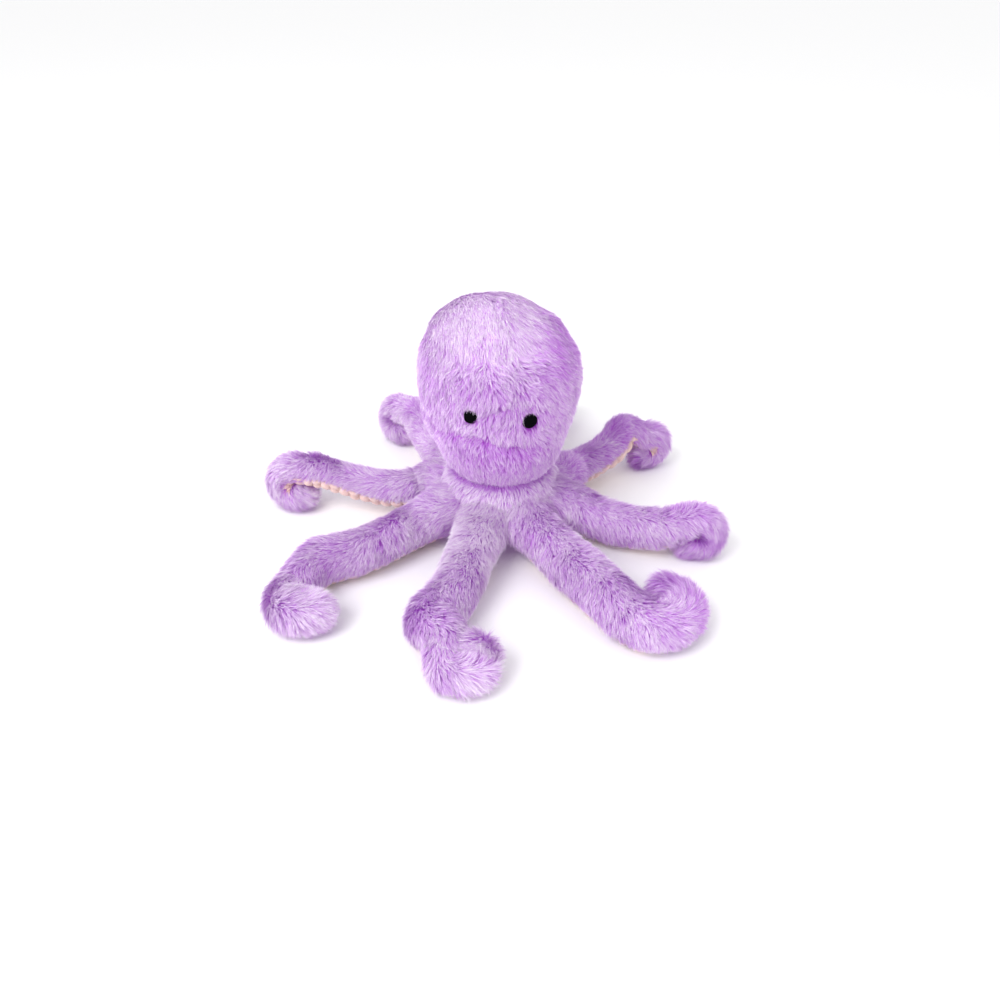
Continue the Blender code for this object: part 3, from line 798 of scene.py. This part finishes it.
# What each zone of an arm adds to its fibres, and how much shorter they are beside the strip.
ARM_MESS, ARM_MESS_RANGE = dict(all=0.64, mess_ripple=0.18, tip=-0.20), (0.2, 1.6)
ARM_LENGTH, STRIP_SHORTER = dict(all=6.8, length_ripple=0.6, tip=2.6), 0.35
ARM_LIFT, ARM_PULL = dict(all=0.54, tip=0.04), dict(all=0.30, tip=-0.08)
# The comb: along the arm, to the ground, and what swirls add; at a tip, into its curl or out beside it.
ALONG_ARM, TO_GROUND, SWIRL_ALONG, SWIRL_ROUND = 0.62, 0.70, 0.15, 0.30
TIP_INWARD, TIP_OUTWARD = 0.40, 2.0
# An arm's tone and its ripple, and the painted shade on its underside, on its tip's sides and over an arm in
# the shade.
ARM_TONE, TONE_RIPPLE, BELOW_PAINTED_SHADE, TIP_SIDES_PAINTED_SHADE, SHADED_DARKER = 0.02, 0.07, 0.12, 0.14, 0.10
# No pile grows nearer to the toy's axis than this, nor this deep in another arm.
ARM_FUR_FROM, FUR_DEPTH = 30.0, 0.5
# The bare slit: degrees inside the strip's edges, and mm from its two ends; and how far the edges close in.
SLIT_INSIDE, SLIT_END, SLIT_CLOSING = 3, 6, 22.0
# The bobble strip: mm from the arm's two ends, degrees past the slit, and the dip of its edges.
STRIP_END, STRIP_OVERLAP, STRIP_DIP = 7, 3.0, -2.0
# Its depth below the pile's outside, and its rise where the strip shows.
STRIP_DEPTH, STRIP_RISE = 3.2, 0.9
# The knobs of the bobble fabric: pitch and height, and the rows' distance and the radius in pitches.
BOBBLE_PITCH, BOBBLE_HEIGHT = 8.4, 3.7
BOBBLE_ROW, BOBBLE_RADIUS = 0.866, 0.53


def arm_rows(arm):
    """(out, side, height, girth) rows in millimetres, from the hinge to the tip."""
    rows = [(0.0, 0.0, ARM_ROOT_HEIGHT, ARM_ROOT_RADIUS)]
    rows += [(ARM_REACH * a, ARM_REACH * b, ARM_RADIUS * c, ARM_RADIUS * d) for a, b, c, d in arm["run"]]
    start, end = arm["sweep"]
    centre_out, centre_side = (ARM_REACH * share for share in arm["centre"])
    lowest = (-90.0 - start) / (end - start)
    rest = ARM_RADIUS * (mix(arm["radius"], lowest) + FACET_SHARE * mix(arm["girth"], lowest)) - ARM_FLAT
    heading = math.radians(arm["heading"])
    steps = round(abs(end - start) / CURL_STEP)
    for step in range(steps + 1):
        t = step / steps
        turn = math.radians(mix(arm["sweep"], t))
        girth, swing = ARM_RADIUS * mix(arm["girth"], t), ARM_RADIUS * mix(arm["radius"], t)
        if arm["upright"]:
            reach = swing * math.cos(turn)
            out = reach * math.cos(heading)
            side = reach * math.sin(heading) + ARM_RADIUS * arm["drift"] * t**2
            height = rest + swing * math.sin(turn)
        else:
            out, side = swing * math.cos(turn), swing * math.sin(turn)
            height = FACET_SHARE * girth - ARM_FLAT + ARM_RADIUS * arm["rise"] * t**2
        rows.append((centre_out + out, centre_side + side, height, girth))
    return np.array(rows)


def arm_line(arm):
    """Stations 1 mm apart from inside the body to the tip, in the arm's own frame: places, girths, way."""
    rows = arm_rows(arm)
    step = np.linalg.norm(rows[1, :3] - rows[0, :3])
    before = np.array([-step, 0.0, ARM_ROOT_HEIGHT, ARM_ROOT_RADIUS])
    line = catmull(np.vstack([before, rows, 2 * rows[-1] - rows[-2]]), 12)
    inner = np.linspace(-ARM_INNER, 0.0, 24, endpoint=False)
    share = smooth(0, 1, -inner / ARM_INNER)
    height, girth = ARM_ROOT_HEIGHT + INNER_RISE * share, ARM_ROOT_RADIUS - INNER_TAPER * share
    line = np.vstack([np.stack([inner, 0 * inner, height, girth], 1), line])
    lengths = lengths_along(line[:, :3])
    line = evenly(line, lengths, int(lengths[-1]))
    padded = np.vstack([line[:1]] * 2 + [line] + [line[-1:]] * 2)
    line = np.stack([np.convolve(column, SOFTENING, "valid") for column in padded.T], 1)
    way = unit(np.gradient(line[:, :3], axis=0))
    return line[:, :3], line[:, 3], way


class Arm:
    """One arm's line, frames and its place in the world. Its stations lie 1 mm apart."""

    def __init__(self, name):
        self.name = name
        arm = PLAIN_ARM | ARMS[name]
        turn = math.radians(arm["turn"])
        self.out = np.array([math.sin(turn), -math.cos(turn), 0.0])
        self.across = np.array([-self.out[1], self.out[0], 0.0])
        self.hinge = self.out * ARM_RING + np.array([0, 0, ARM_ROOT_HEIGHT])
        places, self.girth, ways = arm_line(arm)
        self.length = len(self.girth)
        self.end = self.length - 1 - ARM_INNER
        self.stations = np.arange(self.length)
        under = -UP
        unders = []
        for way in ways:
            under = unit(under - way * (under @ way))
            unders.append(under)
        unders = np.array(unders)
        sides = np.cross(ways, unders)
        roll = np.radians(arm["roll"]) * smooth(5, 70, self.stations - ARM_INNER)[:, None]
        rolled = unders * np.cos(roll) + sides * np.sin(roll)
        sides = sides * np.cos(roll) - unders * np.sin(roll)
        self.centre = self.turned(places) + self.out * ARM_RING
        self.way, self.under, self.side = self.turned(ways), self.turned(rolled), self.turned(sides)
        curl_height = places[-CURL_STATIONS:, 2].mean()
        curl = np.array([[ARM_REACH * arm["centre"][0], ARM_REACH * arm["centre"][1], curl_height]])
        self.curl = (self.turned(curl) + self.out * ARM_RING)[0]
        self.strip, self.tucks = arm["strip"], arm["tucks"]
        self.shows_strip = 1.0 if "strip" in ARMS[name] else 0.0
        self.lit, self.tip_tone_and_shade, self.in_shade = arm["lit"], arm["tip_tone_and_shade"], arm["in_shade"]
        self.upright = 1.0 if arm["upright"] else 0.0

    def turned(self, v):
        """From the arm's own frame (out, side, up) to the world's directions."""
        return v[:, :1] * self.out + v[:, 1:2] * self.across + v[:, 2:] * UP

    def at(self, station, values):
        return np.stack([np.interp(station, self.stations, column) for column in values.T], -1)

    def sunk(self, girth, station):
        """How far the skin lies below the pile's outside: more at a tuck and under the tip's longer pile."""
        tip = smooth(-60, -30, station - self.end)
        depth = np.minimum(ARM_PILE + (1.3 - self.upright) * tip, 0.45 * girth)
        for place, fold in self.tucks:
            depth = depth + fold * np.exp(-(((station - place) / TUCK_WIDTH) ** 2))
        return depth

    def grid(self, columns, sunk, span=(0.0, 360.0), first=0, last=None, spacing=2.0, closed=True):
        """Points sunk below the pile's outside. Rows run to the tip, whose end is rounded when closed."""
        last = self.length - 1 if last is None else last
        stations = np.linspace(first, last, max(int((last - first) / spacing), 2))
        turns = np.radians(np.linspace(*span, columns, endpoint=not closed))
        girth = np.interp(stations, self.stations, self.girth)
        centre, way = self.at(stations, self.centre), unit(self.at(stations, self.way))
        under, side = unit(self.at(stations, self.under)), unit(self.at(stations, self.side))
        reach = girth - sunk(girth, stations - ARM_INNER)
        wide = 1.0 + ROOT_WIDER * (1.0 - smooth(-12, 10, stations - ARM_INNER))
        sideways = np.sin(turns)[None, :] * wide[:, None]
        ring = under[:, None] * np.cos(turns)[None, :, None] + side[:, None] * sideways[..., None]
        inward = unit(self.curl - centre)
        facing = np.clip((ring * inward[:, None]).sum(-1), 0, 1)
        tip = smooth(-58, -30, stations - ARM_INNER - self.end)
        fuller = 1.0 + CURL_FULLER / reach[:, None] * tip[:, None] * facing if closed else 1.0
        points = centre[:, None] + ring * (reach[:, None] * fuller)[..., None]
        if closed:
            dips = np.linspace(0, math.pi / 2, CAP_ROWS + 1)[1:]
            dips[-1] -= CAP_OPENING
            ring_end = under[-1] * np.cos(turns)[:, None] + side[-1] * np.sin(turns)[:, None]
            rounding = ring_end[None] * np.cos(dips)[:, None, None] + way[-1] * np.sin(dips)[:, None, None]
            points = np.concatenate([points, centre[-1] + reach[-1] * rounding])
            stations = np.r_[stations, last + reach[-1] * np.sin(dips)]
        return points, stations, turns


arms = {name: Arm(name) for name in ARMS}


def hidden_by_arms(own, p):
    """True where a root lies inside an arm other than its own."""
    hidden = np.zeros(len(p), bool)
    for other in arms.values():
        if other is own:
            continue
        reach = other.girth[:ROOT_STATIONS] - ARM_PILE - FUR_DEPTH
        gap = np.linalg.norm(p[:, None] - other.centre[None, :ROOT_STATIONS], axis=-1) - reach[None]
        hidden |= gap.min(1) < 0
    return hidden


def arm_skin(arm):
    points, _, _ = arm.grid(SKIN_COLUMNS, arm.sunk)
    return add_piece(Skin(points).mesh(arm.name + "_skin"), backing)


def arm_fur(arm, seed):
    """Pile down the arm, over its sides, and into the curl; bare where the underside strip shows."""
    points, stations, turns = arm.grid(FUR_COLUMNS, arm.sunk, spacing=1.5)
    skin = Skin(points).face_outward(arm.centre.mean(0))
    rng = np.random.default_rng(seed)
    drawn = int(min(skin.cell_areas().sum() * FIBRES_PER_AREA, MOST_DRAWN) * DENSITY)
    (row, column), p, n, down, around = skin.sample(drawn, rng)
    station = np.interp(row, np.arange(len(stations)), stations) - ARM_INNER
    turn = (column / len(turns) * 360.0 + 180.0) % 360.0 - 180.0
    centre = arm.at(np.clip(station + ARM_INNER, 0, arm.length - 1), arm.centre)
    n = np.where(dot(n, p - centre) < 0, -n, n)
    # The strip's edges close in on each other towards the tip.
    closing = SLIT_CLOSING * smooth(-62, -40, station - arm.end) * (1 if arm.shows_strip else 0.5)
    low, high = arm.strip[0] + closing, arm.strip[1] - closing
    open_below = (turn > low + SLIT_INSIDE) & (turn < high - SLIT_INSIDE)
    open_below &= (station > SLIT_END) & (station < arm.end - SLIT_END)
    outside = ~hidden_by_arms(arm, p) & (np.hypot(p[:, 0], p[:, 1]) > ARM_FUR_FROM)
    keep = np.flatnonzero(~open_below & outside)[:MOST_FIBRES]
    p, n, down, around = p[keep], n[keep], down[keep], around[keep]
    station, turn, low, high = station[keep], turn[keep], low[keep], high[keep]

    beside_strip = 1 - smooth(2, 24, np.maximum(low - turn, turn - high))
    beside_strip = beside_strip * smooth(4, 12, station) * arm.shows_strip
    beside_strip = beside_strip * (1 - 0.85 * smooth(-62, -50, station - arm.end))
    tip = smooth(-52, -18, station - arm.end)
    inward = unit(arm.curl - p)
    beside_curl = (1 - smooth(0.35, 0.8, np.abs(dot(n, inward))[:, 0])) * arm.upright
    swirl = Ripple(seed + 5, 24.0)(p)[:, None]
    flow = down * (ALONG_ARM + SWIRL_ALONG * swirl) - UP * (1 - beside_strip)[:, None] * TO_GROUND
    flow = unit(flow + around * swirl * SWIRL_ROUND)
    flow = flow + inward * (tip * (TIP_INWARD - TIP_OUTWARD * beside_curl) * (1 - beside_strip))[:, None]
    zones = dict(all=1.0, tip=tip)
    zones["mess_ripple"], zones["length_ripple"] = Ripple(seed + 6, 20.0)(p), Ripple(seed + 7, 18.0)(p)
    mess = np.clip(weighed(ARM_MESS, zones), *ARM_MESS_RANGE)
    length = weighed(ARM_LENGTH, zones) * (1 - STRIP_SHORTER * beside_strip)
    lift, pull = weighed(ARM_LIFT, zones), weighed(ARM_PULL, zones)
    # The tone paints light and shade: painted light near the root, painted shade on the underside, on the
    # tip's sides and over a shaded arm, and painted shade on the tip where its tone is below zero.
    below = smooth(0.1, 0.9, -n[:, 2])
    sideways = 1 - smooth(-0.2, 0.5, n[:, 2])
    tone = ARM_TONE + arm.tip_tone_and_shade * tip + arm.lit * (1 - smooth(25, 75, station))
    tone = tone - BELOW_PAINTED_SHADE * below - TIP_SIDES_PAINTED_SHADE * tip * sideways
    tone = tone + TONE_RIPPLE * Ripple(seed + 8, 9.0)(p) - SHADED_DARKER * arm.in_shade
    return add_piece(grow(arm.name + "_pile", p, n, flow, length, lift, mess, seed + 1, tone, pull), pile)


def bobble_height(along, across, height):
    """Rows of round knobs, every second row set over by half a pitch."""
    row = np.round(along / (BOBBLE_PITCH * BOBBLE_ROW))
    over = (row % 2) * 0.5
    column = np.round(across / BOBBLE_PITCH - over) + over
    away = np.hypot(along - row * BOBBLE_PITCH * BOBBLE_ROW, across - column * BOBBLE_PITCH)
    away = away / (BOBBLE_PITCH * BOBBLE_RADIUS)
    return np.sqrt(np.clip(1 - away**2, 0, 1)) * height


def arm_bobbles(arm):
    """Bobble fabric that closes the slit: knobs over a thin strip, flatter in the tip."""
    first, last = ARM_INNER + STRIP_END, arm.length - STRIP_END
    low, high = arm.strip
    points, stations, turns = arm.grid(
        int((high - low) / 2.0), lambda girth, _: 0 * girth, span=(low - STRIP_OVERLAP, high + STRIP_OVERLAP),
        first=first, last=last, spacing=0.6, closed=False,
    )
    girth = np.interp(stations, arm.stations, arm.girth)
    centre = arm.at(stations, arm.centre)[:, None]
    knob = bobble_height((stations - first)[:, None], turns[None, :] * girth[:, None], BOBBLE_HEIGHT)
    knob = knob * (1 - 0.6 * smooth(-48, -30, stations - last))[:, None]
    knob[:, [0, -1]] = STRIP_DIP
    points = points + unit(points - centre) * (knob - STRIP_DEPTH + STRIP_RISE * arm.shows_strip)[..., None]
    points[..., 2] = np.maximum(points[..., 2], 0.1)
    return add_piece(Skin(points, wraps=False).mesh(arm.name + "_bobbles"), bobble)


arm_pieces = {}
for index, (name, arm) in enumerate(arms.items()):
    arm_pieces[name] = [arm_skin(arm), arm_fur(arm, ARM_SEED + 10 * index), arm_bobbles(arm)]

# Body: the skirt under the chin and the hem inside the ring of arms. Distance from the axis, height.
BODY_OUTLINE = [
    (0.5, 60), (16, 57.5), (27, 52.5), (34, 46.5), (37.5, 40), (37, 30), (33, 14),
    (30, 3), (28, 0.6), (0.5, 0.4),
]
BODY_MIDDLE = np.array([0.0, 0.0, 30.0])
BODY_ROWS, BODY_COLUMNS = 60, 96
BODY_FIBRES, BODY_SEED = 60000, 300
BODY_FUR_FROM, BODY_FUR_LOWEST = 26, 2.0
# What each zone of the body adds to its fibres, and how far the collar's lean out.
BODY_LENGTH, BODY_MESS = dict(all=7.4, collar=-1.2), dict(all=0.6, collar=0.08)
# The body pile's tones: paler all over and more on the collar, as painted light where the head's shadow
# falls, and painted shade along the crease under the chin.
BODY_TONE_AND_PAINTED_LIGHT = dict(all=0.20, collar=0.10, crease=-0.65)
BODY_LIFT, BODY_PULL, COLLAR_OUT = 0.46, 0.30, 0.6


def body_fur():
    rng = np.random.default_rng(BODY_SEED)
    _, p, n, down, _ = body.sample(int(BODY_FIBRES * DENSITY), rng)
    keep = (np.hypot(p[:, 0], p[:, 1]) > BODY_FUR_FROM) & (p[:, 2] > BODY_FUR_LOWEST)
    keep &= ~hidden_by_arms(None, p)
    p, n, down = p[keep], n[keep], down[keep]
    out = unit(p * [1, 1, 0])
    # The collar's paler tone is painted light and the crease's darker tone is painted shade. The collar also
    # sets length, mess and flow.
    zones = dict(all=1.0, collar=smooth(38, 46, p[:, 2]), crease=smooth(47.4, 48.6, p[:, 2]))
    flow = down + out * COLLAR_OUT * zones["collar"][:, None]
    length, mess, tone = (weighed(weights, zones) for weights in (BODY_LENGTH, BODY_MESS, BODY_TONE_AND_PAINTED_LIGHT))
    mesh = grow("body_pile", p, n, flow, length, BODY_LIFT, mess, BODY_SEED + 1, tone, BODY_PULL)
    return add_piece(mesh, pile)


outline = np.array(BODY_OUTLINE)
outline = evenly(outline, lengths_along(outline), BODY_ROWS)
body = Skin(turned_form(outline, BODY_COLUMNS)).face_outward(BODY_MIDDLE)
body_skin = add_piece(body.mesh("body_skin"), backing)
body_pieces = [body_skin, body_fur()]

# Eyes: domes of black satin stitch, each turned with the face and sewn on this far from the head's axis.
FACE_CURVE, FACE_RADIUS = 50.0, 51.4
EYE_ROWS, EYE_COLUMNS = 18, 48
# A dome's height, the depth of its edge, how much wider than tall it is, and its tilt upward.
EYE_HEIGHT, EYE_EDGE, EYE_WIDER, EYE_TILT = 2.6, -2.5, 1.02, 0.06
STITCH_PITCH, STITCH_HEIGHT = 0.62, 0.16


def eye_mesh(name, x, z, radius):
    share = np.linspace(0.02, 1.0, EYE_ROWS)
    turns = np.linspace(0, math.tau, EYE_COLUMNS, endpoint=False)
    across = np.outer(share * radius * EYE_WIDER, np.cos(turns))
    up = np.outer(share * radius, np.sin(turns))
    dome = np.repeat((EYE_HEIGHT * np.sqrt(np.clip(1.0 - share**2, 0, 1)))[:, None], EYE_COLUMNS, 1)
    dome = dome + STITCH_HEIGHT * np.abs(np.sin(across * math.pi / STITCH_PITCH))
    dome[-1] = EYE_EDGE
    turn = math.asin(x / FACE_CURVE)
    seat = np.array([math.sin(turn) * FACE_RADIUS, -math.cos(turn) * FACE_RADIUS, z])
    out = np.array([math.sin(turn), -math.cos(turn), EYE_TILT])
    out /= np.linalg.norm(out)
    right = np.array([math.cos(turn), math.sin(turn), 0.0])
    rise = np.cross(out, right)
    points = seat + across[..., None] * right + up[..., None] * rise + dome[..., None] * out
    return Skin(points).mesh(name)


eyes = {}
for side, eye in EYES.items():
    eyes[side] = add_piece(eye_mesh(side + "_stitches", *eye), thread)

# Base panel, with its knobs down.
PANEL_RADIUS, PANEL_HEIGHT, PANEL_BOBBLE = 29.0, 1.7, 1.6
PANEL_ROWS, PANEL_COLUMNS = 60, 120
radius = np.linspace(0.3, PANEL_RADIUS, PANEL_ROWS)
turns = np.linspace(0, math.tau, PANEL_COLUMNS, endpoint=False)
x, y = np.outer(radius, np.cos(turns)), np.outer(radius, np.sin(turns))
panel = Skin(np.stack([x, y, PANEL_HEIGHT - bobble_height(y, x, PANEL_BOBBLE)], -1))
base = add_piece(panel.mesh("base_bobbles", cap=False), bobble)

# Each piece's transform is applied, or it is attached to the empty it moves with, and the parts of model.glb
# that it replaces are hidden.
for piece in head_pieces:
    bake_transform(piece)
    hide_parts("head_cover", "head_stuffing")
for piece in body_pieces:
    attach(piece, "body")
    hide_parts("body_cover", "body_stuffing")
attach(base, "body")
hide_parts("base_panel")
for side, piece in eyes.items():
    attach(piece, "head")
    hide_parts(side)
for name, (skin, fur, strip) in arm_pieces.items():
    arm = arms[name]
    for piece in (skin, fur, strip):
        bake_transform(piece)
    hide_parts(name + "_cover", name + "_stuffing")
    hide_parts(name + "_cover")
    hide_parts(name + "_underside")

# Studio, in metres: a pale floor, a broad key from the upper left, and a weak fill from the front right.
FLOOR_HALF = 6.0
LAMPS = {"key": ((-0.8, -0.8, 1.25), 0.9, 16.5), "fill": ((0.6, -1.0, 0.6), 1.0, 0.9)}
LAMP_AIM = Vector((0, 0, 0.05))
CAMERA_TILT = math.radians(35.0)
CAMERA_DISTANCE = 0.612
CAMERA_AIM = Vector((0, 0, 0.016))
LENS, SENSOR = 30.6, 36.0


def set_up(thing, place, aim):
    thing.location = place
    thing.rotation_euler = (aim - thing.location).to_track_quat("-Z", "Y").to_euler()
    bpy.context.scene.collection.objects.link(thing)


mesh = bpy.data.meshes.new("floor")
corners = [(FLOOR_HALF * x, FLOOR_HALF * y, 0) for x, y in ((-1, -1), (1, -1), (1, 1), (-1, 1))]
mesh.from_pydata(corners, [], [(0, 1, 2, 3)])
floor = Finish("pale_floor", 0.9)
floor.surface.inputs["Base Color"].default_value = (0.95, 0.95, 0.955, 1)
add_piece(mesh, floor.material)
world = bpy.data.worlds.new("studio")
bpy.context.scene.world = world
world.use_nodes = True
world.node_tree.nodes["Background"].inputs["Color"].default_value = (1, 1, 1, 1)
world.node_tree.nodes["Background"].inputs["Strength"].default_value = 1
for name, (place, size, power) in LAMPS.items():
    light = bpy.data.lights.new(name, "AREA")
    light.size, light.energy = size, power
    set_up(bpy.data.objects.new(name, light), place, LAMP_AIM)

data = bpy.data.cameras.new("camera")
data.lens, data.sensor_width = LENS, SENSOR
data.clip_start = 0.01
view = bpy.data.objects.new("camera", data)
back = Vector((0, -math.cos(CAMERA_TILT), math.sin(CAMERA_TILT)))
set_up(view, CAMERA_AIM + CAMERA_DISTANCE * back, CAMERA_AIM)
bpy.context.scene.camera = view
bpy.context.scene.view_settings.view_transform = "Standard"
